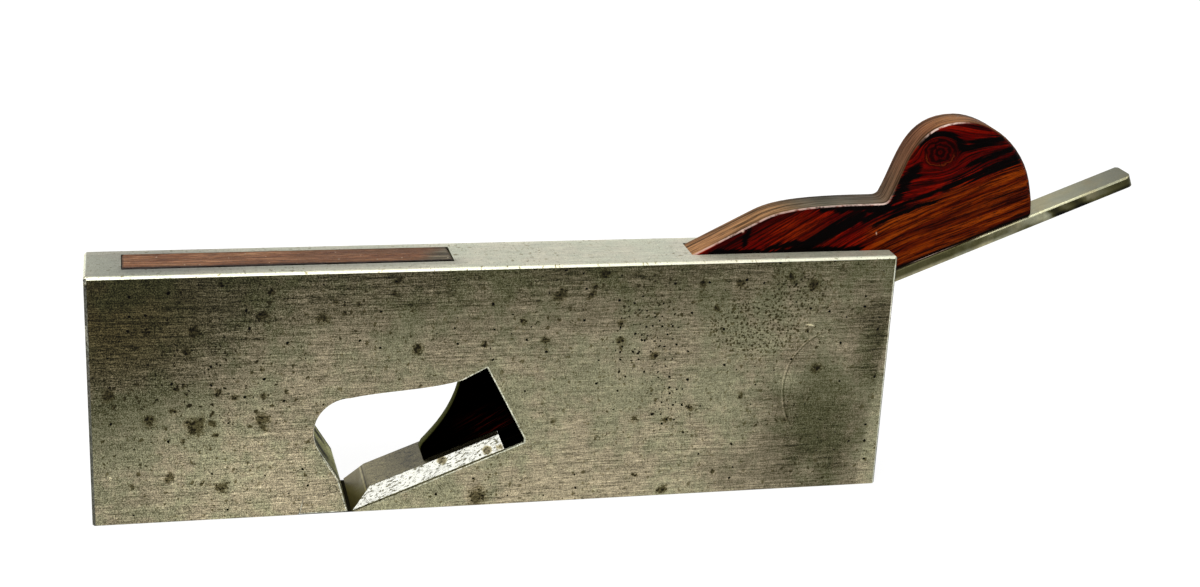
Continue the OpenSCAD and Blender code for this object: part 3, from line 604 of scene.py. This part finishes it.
def tang_tone(g, x, laid, nx, ny, patch, cloud, grain, lines):
    """Tone of the tang: paler beside the wedge, dark patches on its sides, a thin painted highlight on its
    arris, and painted shade where it runs down inside the throat.
    """
    u, _, w = g.split(laid)
    sideways = g.size(ny)
    upper = g.split(g.ramp(g.span(u, 190, 250, smooth=False), [
        (0.0, 0.50), (0.5, 0.575), (0.62, 0.56), (0.76, 0.50), (0.9, 0.44), (1.0, 0.40)]))[0]
    upper = g.times(upper, g.plus(1.0, g.times(patch, 0.07), g.times(cloud, 0.06), g.times(grain, 0.08),
                                  g.times(lines, 0.05)))
    moved = g.plus(u, g.times(patch, 1.6), g.times(w, 0.8))
    side = g.split(g.ramp(g.span(moved, 190, 250, smooth=False), [
        (0.0, 0.26), (0.22, 0.32), (0.42, 0.42), (0.545, 0.56), (0.585, 0.17), (0.66, 0.30), (0.72, 0.17),
        (0.8, 0.40), (0.92, 0.27), (1.0, 0.24)]))[0]
    low_edge = g.span(w, 1.5, 0.3)
    side = g.plus(side, g.times(low_edge, g.blend(g.span(u, 204, 216), 0.24, -0.12)))
    mottle = g.plus(g.times(patch, 0.30), g.times(grain, 0.20), g.times(cloud, 0.12))
    side = g.times(side, g.plus(1.0, mottle))
    # Painted highlight on the tang's eased upper edge
    edge = g.times(g.math("GREATER_THAN", sideways, 0.3), g.math("LESS_THAN", sideways, 0.85))
    arris = g.blend(g.span(u, 228, 240), g.blend(g.span(w, 3.15, 2.95), 0.76, 0.62), 0.58)
    arris = g.blend(g.span(u, 196, 201), g.plus(0.30, g.times(patch, 0.05)), arris)
    tang = g.blend(g.math("GREATER_THAN", sideways, 0.85), g.blend(edge, upper, arris), side)
    tang = g.plus(tang, g.times(g.span(g.minus(x, HEEL_X), 4, -2), -0.12))
    # Painted shade: the tang darkens down inside the throat
    tang = g.times(tang, g.span(u, 74, 90, 0.12, 1.0))
    tail = g.times(g.math("GREATER_THAN", nx, 0.5), g.math("GREATER_THAN", u, 200))
    return g.blend(tail, tang, g.plus(0.30, g.times(patch, 0.06)))


def iron_metal():
    """Iron: speckled side edges painted bright as a highlight, brown-grey pitted top and a dull bevel."""
    g = Graph(bpy.data.materials.new("iron_metal_worn"))
    place = g.millimetres()
    x, y, _ = g.split(place)
    nx, ny, nz = g.facing()
    u, w = iron_place(g, place)
    laid = g.join(u, y, w)
    head = g.math("LESS_THAN", u, HEAD_L + 0.1)
    side = g.math("GREATER_THAN", g.size(ny), 0.5)
    bevel = g.times(g.math("LESS_THAN", nx, -0.6), head)
    under = g.math("LESS_THAN", nz, -0.5)
    patch = g.swing(laid, 0.28, 4, 0.6)
    cloud = g.swing(laid, 0.07, 3, 0.5)
    grain = g.swing(laid, 2.8, 4, 0.7)
    lines = g.swing(g.vector("MULTIPLY", laid, (0.08, 2.2, 2.2)), 1, 3, 0.6)
    highlit_side, specks, spots = head_side(g, laid, grain)
    specks = g.times(specks, side, head)
    upper, pitted = head_top(g, laid, patch, grain, lines)
    value = g.blend(bevel, g.blend(side, upper, highlit_side), bevel_tone(g, laid, grain, lines))
    value = g.blend(head, tang_tone(g, x, laid, nx, ny, patch, cloud, grain, lines), value)
    value = g.blend(under, value, g.plus(0.42, g.times(patch, 0.06), g.times(grain, 0.04)))

    # Hue: rusty in patches, neutral on the sides painted bright as a highlight, brown on the head's top and
    # on the bevel
    tint = g.mix(g.span(g.noise(laid, 0.12, 3), 0.35, 0.65), (1.0, 1.0, 0.84), (1.04, 1.0, 0.78))
    rust = g.span(g.noise(g.vector("ADD", laid, (9, 4, 2)), 0.16, 4, 0.6), 0.56, 0.68)
    tint = g.mix(g.times(rust, 0.5), tint, (1.06, 0.98, 0.74))
    tint = g.mix(g.span(value, 0.42, 0.22), tint, (1.03, 1.0, 0.62))
    tint = g.mix(g.times(side, head, g.span(value, 0.4, 0.56)), tint, (1.0, 1.0, 0.955))
    tint = g.mix(g.times(head, g.math("LESS_THAN", g.size(ny), 0.5)), tint, (1.06, 1.0, 0.76))
    tint = g.mix(bevel, tint, g.mix(g.span(value, 0.3, 0.46), (1.13, 1.0, 0.48), (1.06, 1.0, 0.74)))
    tint = g.mix(g.times(spots, side, head), tint, (1.05, 0.98, 0.76))
    gloss = g.plus(0.36, g.times(grain, 0.05), g.times(patch, 0.05), g.times(specks, 0.2))
    relief = g.plus(g.times(grain, 0.3), g.times(patch, 0.5), g.times(g.most(pitted, specks), -0.6))
    graze = g.mix(g.times(g.minus(1.0, head), g.span(u, 90, 74)), (1, 1, 1), (0, 0, 0))
    return g.finish(Base_Color=g.seen(g.scaled(tint, value)), Metallic=0.9, Roughness=gloss,
                    Specular_Tint=graze, Normal=g.bump(relief, 0.05, 0.8))


def grain_lines(g, x, z):
    """Height over the knot's grain line: lines bend up in the crook and part round the knot."""
    slope = g.span(z, 98, 110, WEDGE_GRAIN, -0.04)
    steep = g.add("Math", {0: g.minus(112.0, x), 1: 0.0, 2: 14.0}, operation="SMOOTH_MAX").outputs[0]
    level = g.plus(g.minus(z, g.times(slope, g.minus(x, KNOT[0]))), g.times(steep, CROOK_GRAIN - WEDGE_GRAIN))
    across = g.times(g.minus(level, KNOT[1]), 0.94)
    dx = g.times(g.minus(x, KNOT[0]), 0.82)
    dz = g.minus(z, KNOT[1])
    near = g.plus(g.times(dx, dx), g.times(dz, dz))
    parted = g.minus(1.0, g.math("DIVIDE", KNOT_R ** 2, g.most(near, KNOT_R ** 2)))
    return g.times(across, g.blend(g.span(near, 300, 60), 1.0, parted)), g.math("SQRT", near)


def knot_wood(g, place, away, fleck):
    """Dark heart of the knot with a few rings, the lower ones lighter, and the distance from its middle."""
    z = g.split(place)[2]
    wobble = g.plus(away, g.swing(g.vector("MULTIPLY", place, (0.8, 1, 1.2)), 0.4, 4, 0.6, 1.0))
    rings = g.plus(g.math("SINE", g.times(wobble, 4.6)), g.times(fleck, 1.6))
    heart = g.mix(g.span(rings, -0.8, 1.6), rgb(26, 0, 0), rgb(76, 9, 3))
    pale = g.times(g.span(g.size(g.minus(wobble, 3.7)), 0.4, 0.05), g.span(g.minus(z, KNOT[1]), 1, -1.5))
    heart = g.mix(g.times(pale, 0.6), heart, rgb(140, 66, 28))
    return heart, wobble


def sheen_wood(g, x, y, z):
    """Wood of the wedge's upper faces, lightened to pale brown-grey as a painted sheen, with stripes along
    them.
    """
    reach = g.times(x, 0.01)
    sheened_colour = g.ramp(g.minus(reach, 0.6), [
        (0.0, rgb(156, 116, 80)), (0.2, rgb(136, 106, 74)), (0.28, rgb(98, 92, 76)), (0.49, rgb(94, 86, 72)),
        (0.54, rgb(96, 74, 56)), (0.61, rgb(102, 70, 50)), (0.68, rgb(132, 94, 62)), (0.79, rgb(120, 84, 56)),
        (0.87, rgb(80, 52, 22)), (0.95, rgb(58, 34, 8))])
    run = g.noise(g.join(g.times(x, 0.03), g.times(y, 1.1), g.times(z, 0.03)), 1, 4, 0.65)
    thread = g.noise(g.join(g.times(x, 0.12), g.times(y, 4.0), g.times(z, 0.12)), 1, 3, 0.6)
    sheened_colour = g.scaled(sheened_colour, g.plus(1.0, g.times(g.minus(run, 0.5), 1.9), g.times(g.minus(thread, 0.5), 1.3),
                               g.span(y, -1, 4, 0.06, -0.18)))
    sheened_colour = g.mix(g.span(run, 0.48, 0.36, 0, 0.7), sheened_colour, rgb(66, 54, 36))
    sheened_colour = g.mix(g.span(thread, 0.44, 0.34, 0, 0.6), sheened_colour, rgb(52, 34, 20))
    return sheened_colour


def arris_highlight(g, place, ny, outside):
    """Mask of the near upper edge, where a pale painted highlight runs along part of its length."""
    reach, lying = g.times(g.split(place)[0], 0.01), g.size(ny)
    # Painted highlight: how strongly it shows along the wedge
    polished = g.split(g.ramp(g.minus(reach, 0.6), [
        (0.0, 0.75), (0.4, 0.8), (0.51, 0.95), (0.54, 0.1), (0.60, 0.15), (0.63, 0.9), (0.71, 0.85),
        (0.76, 0.15), (0.8, 0.0)]))[0]
    return g.times(g.span(lying, 0.93, 0.83), g.span(lying, 0.42, 0.6), g.span(ny, 0.1, -0.1),
                   outside, polished, g.span(g.noise(place, 0.6, 3, 0.6), 0.30, 0.52, 0.3, 1.0))


def shaded_throat_wood(g, place, nx, streak):
    """Wood in the throat, painted nearly black as shade with a few red streaks, and a painted olive highlight
    on the far side of its front.
    """
    x, y, z = g.split(place)
    ember = g.times(g.span(streak, 0.50, 0.64), g.spot(g.join(x, z), (-3, 22, 0), (14, 9, 1)))
    # Painted shade: the wood in the throat is nearly black
    throat_shade = g.mix(ember, rgb(4, 3, 2), rgb(66, 18, 11))
    # Painted highlight: olive on the far side of the front face
    front = g.times(g.math("LESS_THAN", nx, -0.3), g.span(y, 0.3, 1.9))
    far_highlight = g.span(g.plus(y, g.swing(place, 0.2, 2, 0.5, 0.5)), 2.2, 3.6)
    return g.mix(front, throat_shade, g.mix(far_highlight, rgb(92, 94, 56), rgb(112, 114, 80)))


def wedge_wood():
    """Polished rosewood of the wedge: deep red to amber, with black veins and a knot."""
    g = Graph(bpy.data.materials.new("wedge_rosewood"))
    place = g.millimetres()
    x, y, z = g.split(place)
    nx, ny, _ = g.split(g.add("NewGeometry").outputs["Normal"])
    u = g.plus(g.times(x, 0.93), g.times(z, 0.36))
    across, away = grain_lines(g, x, z)
    slow = g.join(g.times(u, 0.03), g.times(y, 0.05), g.times(across, 0.08))
    bent = g.plus(across, g.swing(slow, 1, 2, 0.5, 1.1))
    broad = g.noise(g.join(g.times(u, 0.014), g.times(y, 0.06), g.times(bent, 0.2)), 1, 3, 0.55)
    stripe = g.noise(g.join(g.times(u, 0.035), g.times(y, 0.35), g.times(bent, 0.8)), 1, 4, 0.62)
    streak = g.noise(g.join(g.times(u, 0.085), g.times(y, 1.2), g.times(bent, 2.3)), 1, 3, 0.62)
    pores = g.noise(g.join(g.times(u, 0.42), g.times(y, 5.0), g.times(bent, 6.0)), 1, 2, 0.5)
    fleck = g.swing(place, 1.1, 4, 0.7)

    # Deep red above, amber below the long vein, orange in the crook
    red = g.mix(g.span(stripe, 0.36, 0.66), rgb(72, 3, 0), rgb(142, 27, 3))
    amber = g.mix(g.span(stripe, 0.34, 0.62), rgb(84, 24, 0), rgb(148, 64, 14))
    under = g.minus(z, g.plus(g.times(x, WEDGE_GRAIN), VEIN_Z))
    low_zone = g.span(g.plus(under, g.swing(place, 0.12, 3, 0.55, 1.2)), -0.3, -3.5)
    low_zone = g.times(low_zone, g.span(x, 101, 112))
    crook_zone = g.spot(g.join(x, z), (86, 78.5, 0), (17, 8.5, 1))
    warm = g.most(low_zone, g.times(crook_zone, 0.5))
    colour = g.mix(warm, red, amber)
    colour = g.mix(g.span(broad, 0.50, 0.36, 0, 0.55), colour, rgb(34, 3, 1))
    smoke = g.times(g.span(streak, 0.52, 0.40), g.span(broad, 0.3, 0.6, 0.9, 0.6))
    colour = g.mix(smoke, colour, rgb(22, 3, 1))

    # Black veins and swirls at their places
    plane = g.warped(g.warped(g.join(x, z), 0.1, 1.2, 2), 0.5, 0.5, 3)
    veins = 0.0
    for start, end, width in VEINS:
        veins = g.most(veins, g.vein(plane, start, end, width))
    crown = g.times(g.span(g.size(g.minus(away, 5.6)), 1.5, 0, smooth=False),
                    g.span(g.minus(z, KNOT[1]), 0.5, 3))
    veins = g.plus(g.most(veins, g.times(crown, 0.9)), g.times(g.minus(0.5, streak), 1.3),
                   g.times(g.minus(0.5, stripe), 1.3), g.times(fleck, 0.08))
    colour = g.mix(g.span(veins, 0.26, 0.66, 0, 0.95), colour, rgb(7, 2, 1))

    heart, wobble = knot_wood(g, place, away, fleck)
    colour = g.mix(g.span(wobble, 5.2, 3.9, 0, 0.92), colour, heart)
    colour = g.mix(g.times(g.span(pores, 0.42, 0.34), 0.55), colour, rgb(14, 4, 2))

    # Painted shade: a black line along the foot, over the iron
    _, w = iron_place(g, place)
    colour = g.mix(g.span(g.plus(w, g.times(fleck, 0.15)), 5.0, 4.0, 0, 0.92), colour, rgb(8, 7, 4))

    # Upper faces get a painted sheen, and the near arris a pale painted highlight
    outside = g.span(z, 60, 66)
    upper = g.times(g.span(g.size(ny), 0.80, 0.45), outside)
    colour = g.mix(g.times(upper, 0.95), colour, sheen_wood(g, x, y, z))
    colour = g.mix(arris_highlight(g, place, ny, outside), colour, rgb(236, 208, 194))
    nick = g.most(g.stroke(g.join(x, z), (109.3, 76.6), (109.0, 78.3), 0.3),
                  g.spot(g.join(x, z), (68.4, 79.0, 0), (0.8, 0.8, 1)))
    colour = g.mix(g.times(nick, g.span(ny, -0.3, -0.6)), colour, rgb(214, 186, 168))

    # Painted shade: below this height the wedge takes the throat's dark colours
    inside = g.span(z, 56, 42)
    colour = g.mix(inside, colour, shaded_throat_wood(g, place, nx, streak))
    gloss = g.plus(0.27, g.times(g.span(pores, 0.45, 0.35), 0.2), g.times(upper, 0.2))
    relief = g.plus(g.span(pores, 0.45, 0.36, 0, -1), g.times(streak, 0.4), g.swing(place, 0.25, 3, 0.5, 0.6))
    shine = g.span(inside, 0, 0.5, 0.02, 0.0)
    return g.finish(Base_Color=g.seen(colour), Roughness=gloss, Specular_IOR_Level=shine,
                    Normal=g.bump(relief, 0.06, 0.7))


def infill_wood():
    """Oiled rosewood of the nose and bed, made pale brown on top by a painted sheen, and grey at its rear
    end.
    """
    g = Graph(bpy.data.materials.new("infill_rosewood"))
    place = g.millimetres()
    x, y, z = g.split(place)
    bend = g.plus(y, g.swing(g.join(g.times(x, 0.03), g.times(y, 0.1), z), 1, 2, 0.5, 1.6))
    rise = g.plus(z, g.swing(g.join(g.times(x, 0.02), y, g.times(z, 0.1)), 1, 2, 0.5, 1.6))
    broad = g.noise(g.join(g.times(x, 0.018), g.times(bend, 0.22), g.times(rise, 0.2)), 1, 3, 0.55)
    stripe = g.noise(g.join(g.times(x, 0.05), g.times(bend, 1.1), g.times(rise, 1.1)), 1, 4, 0.65)
    pores = g.noise(g.join(g.times(x, 0.35), g.times(bend, 5.0), g.times(rise, 5.0)), 1, 2, 0.5)
    # Rosewood colours, lightened by a painted sheen
    colour = g.mix(g.span(stripe, 0.36, 0.64), rgb(112, 66, 40), rgb(190, 140, 100))
    colour = g.mix(g.span(broad, 0.58, 0.42, 0, 0.5), colour, rgb(92, 62, 44))
    colour = g.mix(g.times(g.span(pores, 0.46, 0.34), 0.75), colour, rgb(54, 30, 22))
    thread = g.noise(g.join(g.times(x, 0.06), g.times(bend, 2.4), g.times(rise, 2.4)), 1, 3, 0.6)
    colour = g.mix(g.span(thread, 0.50, 0.40, 0, 0.6), colour, rgb(74, 48, 26))
    wander = g.plus(x, g.swing(place, 0.22, 3, 0.6, 3.5), g.times(y, -0.5))
    tired = g.span(wander, TOE_X + 46, TOE_X + 66, 0, 0.22)
    colour = g.mix(tired, colour, rgb(84, 60, 42))
    grey = g.times(g.span(wander, BRIDGE_X - 10, BRIDGE_X - 3), 0.85)
    colour = g.mix(grey, colour, g.mix(g.span(stripe, 0.4, 0.6), rgb(52, 50, 38), rgb(128, 122, 102)))
    flecks = g.dots(g.warped(g.join(x, y), 0.9, 0.3), 6.0, 0.34, 0.35)
    colour = g.mix(g.times(flecks, 0.7), colour, rgb(214, 200, 176))
    ragged = g.plus(y, g.swing(place, 0.5, 3, 0.6, 0.35))
    colour = g.mix(g.span(ragged, -CORE_W / 2 + 2.3, -CORE_W / 2 + 1.7, 0, 0.85), colour, rgb(26, 18, 12))
    edge = g.most(g.span(x, TOE_X + END_BLOCK_T + 0.9, TOE_X + END_BLOCK_T + 0.3),
                  g.span(x, BRIDGE_X - 1.2, BRIDGE_X - 0.4))
    colour = g.mix(g.times(edge, 0.55), colour, rgb(56, 42, 30))
    # Painted shade: faces that stand upright or lie below the top, down in the gap, are nearly black
    upright = g.math("LESS_THAN", g.facing()[2], 0.6)
    colour = g.mix(g.most(upright, g.span(z, BODY_H - 0.2, BODY_H - 0.4)), colour, rgb(22, 15, 9))
    relief = g.plus(g.span(pores, 0.45, 0.36, 0, -1), g.times(stripe, 0.6))
    return g.finish(Base_Color=g.seen(colour), Roughness=0.45, Specular_IOR_Level=0.06,
                    Normal=g.bump(relief, 0.08, 0.8))


def shown(g):
    """1 where the camera, a reflection or a refraction sees a thing, 0 where it only gives light."""
    path = g.add("LightPath").outputs
    return g.most(path["Is Camera Ray"], path["Is Glossy Ray"], path["Is Transmission Ray"])


def world():
    """A white surround for the camera and for reflections, and a plain grey light otherwise."""
    g = Graph(bpy.data.worlds.new("surround"))
    strength = g.span(shown(g), 0, 1, 0.6, 1.0, smooth=False)
    back = g.add("Background", {"Color": (1, 1, 1), "Strength": strength})
    g.add("OutputWorld", {"Surface": back.outputs[0]})
    bpy.context.scene.world = g.owner


def floor():
    """Pale paper that keeps the plane's shadow, with a painted shadow where the sole covers it, as seen
    through the mouth.
    """
    mesh = bpy.data.meshes.new("floor")
    reach = 6.0
    mesh.from_pydata([(-reach, -reach, 0), (reach, -reach, 0), (reach, reach, 0), (-reach, reach, 0)], [],
                     [(0, 1, 2, 3)])
    made = bpy.data.objects.new("floor", mesh)
    made.location.z = -0.0002
    bpy.context.scene.collection.objects.link(made)
    g = Graph(bpy.data.materials.new("floor_paper"))
    plain = g.add("BsdfDiffuse", {"Color": (0.8, 0.8, 0.79)})
    x, y, _ = g.split(g.millimetres())
    beyond = g.most(g.minus(g.size(x), BODY_L / 2), g.minus(g.size(y), BODY_W / 2))
    below = g.add("NewGeometry").outputs["Backfacing"]
    # Painted shadow: inside the plane's footprint the paper has no glow and a dark colour
    open_air = g.most(g.span(beyond, -0.6, -0.2), below)
    glow = g.add("Emission", {"Color": (1, 1, 1), "Strength": g.times(open_air, 0.86)})
    thin = g.add("BsdfDiffuse", {"Color": g.mix(open_air, (0.02, 0.018, 0.01), (0.26, 0.26, 0.26))})
    both = g.add("AddShader", {0: glow.outputs[0], 1: thin.outputs[0]})
    out = g.add("MixShader", {0: shown(g), 1: plain.outputs[0], 2: both.outputs[0]})
    g.add("OutputMaterial", {"Surface": out.outputs[0]})
    mesh.materials.append(g.owner)


def lamp(name, place, aim, size, power):
    """Soft rectangular lamp, in metres and watts."""
    data = bpy.data.lights.new(name, "AREA")
    data.shape = "RECTANGLE"
    data.size, data.size_y = size
    data.energy = power
    made = bpy.data.objects.new(name, data)
    bpy.context.scene.collection.objects.link(made)
    made.location = place
    made.rotation_euler = (Vector(aim) - Vector(place)).to_track_quat("-Z", "Y").to_euler()


def copy_of(node):
    """Editable copy of a CAD node's mesh, with its split vertices joined and flat faces whole."""
    made = bmesh.new()
    made.from_mesh(frame["nodes"][node].data)
    bmesh.ops.remove_doubles(made, verts=made.verts, dist=1e-6)
    bmesh.ops.dissolve_limit(made, angle_limit=math.radians(0.4), verts=made.verts, edges=made.edges)
    return made


def add_piece(name, made, node, body, material, sharp_over=30):
    """Turn an edited mesh into a piece that stands for a CAD node."""
    mesh = bpy.data.meshes.new(name)
    made.to_mesh(mesh)
    made.free()
    for polygon in mesh.polygons:
        polygon.use_smooth = True
    mesh.set_sharp_from_angle(angle=math.radians(sharp_over))
    mesh.materials.append(material)
    piece = bpy.data.objects.new(name, mesh)
    bpy.context.scene.collection.objects.link(piece)
    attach(piece, body)
    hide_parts(node)
    return piece


def eased_cheek(node, side):
    """Cheek whose escapement has its outer edges eased by hand."""
    made = copy_of(node)
    outer = side * BODY_W / 2

    def on_escapement(edge):
        for vert in edge.verts:
            x, y, z = vert.co / MM
            bed = (x - BED_FOOT_X) * math.tan(BED_ANGLE)
            within = MOUTH_X - 15 < x < MOUTH_X + 51 and max(-0.1, bed - 1.5) < z < 46
            if abs(y - outer) > 0.01 or not within:
                return False
        sharp = len(edge.link_faces) == 2 and edge.calc_face_angle() > 1
        return sharp and edge.calc_length() > 0.3 * MM

    edges = [edge for edge in made.edges if on_escapement(edge)]
    bmesh.ops.bevel(made, geom=edges, offset=ARRIS * MM, segments=2, profile=0.6, affect="EDGES")
    return add_piece(node + "_eased", made, node, "stock", STEEL)


def nose_wood():
    """Nose infill, shrunk away from the near cheek along a ragged gap at the top."""
    depth, columns, rows = 1.3, 150, 8
    low_x, high_x = TOE_X + END_BLOCK_T, BRIDGE_X
    low_y, high_y = -CORE_W / 2, CORE_W / 2 + NOSE_REBATE
    made = copy_of("nose_infill")
    cut = bmesh.ops.bisect_plane(made, geom=[*made.verts, *made.edges, *made.faces],
                                 plane_co=(0, 0, (BODY_H - depth) * MM), plane_no=(0, 0, 1), clear_outer=True)
    rim = [item for item in cut["geom_cut"] if isinstance(item, bmesh.types.BMEdge)]
    bmesh.ops.contextual_create(made, geom=rim)

    def top_point(i, j):
        along = i / columns
        rough = 0.45 * noise.noise(Vector((along * 22, 0.3, 0)))
        rough += 0.32 * noise.noise(Vector((along * 75, 2.1, 0)))
        near = low_y + max(0.25, 0.85 + 0.6 * along + rough)
        across = j / rows
        start = low_x + 0.22 + 0.08 * noise.noise(Vector((across * 5, 7, 0)))
        end = high_x - 0.20 - 0.35 * across
        x = start + (end - start) * along
        y = near + (high_y - 0.02 - near) * across
        edge = min(i, columns - i, j) == 0
        z = BODY_H - 0.04 - (0.12 if edge else 0) + 0.05 * noise.noise(Vector((x * 0.2, y * 0.5, 3)))
        return Vector((x, y, z)) * MM

    grid = [[made.verts.new(top_point(i, j)) for j in range(rows + 1)] for i in range(columns + 1)]
    for i in range(columns):
        for j in range(rows):
            made.faces.new((grid[i][j], grid[i + 1][j], grid[i + 1][j + 1], grid[i][j + 1]))
    ring = [grid[i][0] for i in range(columns + 1)] + [grid[columns][j] for j in range(1, rows + 1)]
    ring += [grid[i][rows] for i in range(columns - 1, -1, -1)] + [grid[0][j] for j in range(rows - 1, 0, -1)]
    foot = [made.verts.new((vert.co.x, vert.co.y, (BODY_H - depth) * MM)) for vert in ring]
    for k, vert in enumerate(ring):
        after = (k + 1) % len(ring)
        made.faces.new((vert, foot[k], foot[after], ring[after]))
    made.faces.new(foot[::-1])
    bmesh.ops.recalc_face_normals(made, faces=made.faces)
    return add_piece("nose_infill_worn", made, "nose_infill", "stock", INFILL)


def smooth_wedge():
    """Wedge with its eased edges smooth, as polished."""
    made = bmesh.new()
    made.from_mesh(frame["nodes"]["wedge"].data)
    bmesh.ops.remove_doubles(made, verts=made.verts, dist=1e-6)
    return add_piece("wedge_polished", made, "wedge", "wedge", ROSEWOOD, 40)


bpy.context.scene.view_settings.view_transform = "Standard"
camera()
world()
floor()
lamp("key", (-0.5, -0.6, 1.2), (0, 0, 0.03), (1.0, 0.8), 9)

STEEL = body_steel()
IRON = iron_metal()
ROSEWOOD = wedge_wood()
INFILL = infill_wood()
for name, node in frame["nodes"].items():
    chosen = STEEL
    if name in ("nose_infill", "bed_infill"):
        chosen = INFILL
    elif name in ("iron", "cutting_steel"):
        chosen = IRON
    elif name == "wedge":
        chosen = ROSEWOOD
    for place in node.material_slots:
        place.material = chosen
eased_cheek("near_cheek", -1)
eased_cheek("far_cheek", 1)
nose_wood()
smooth_wedge()
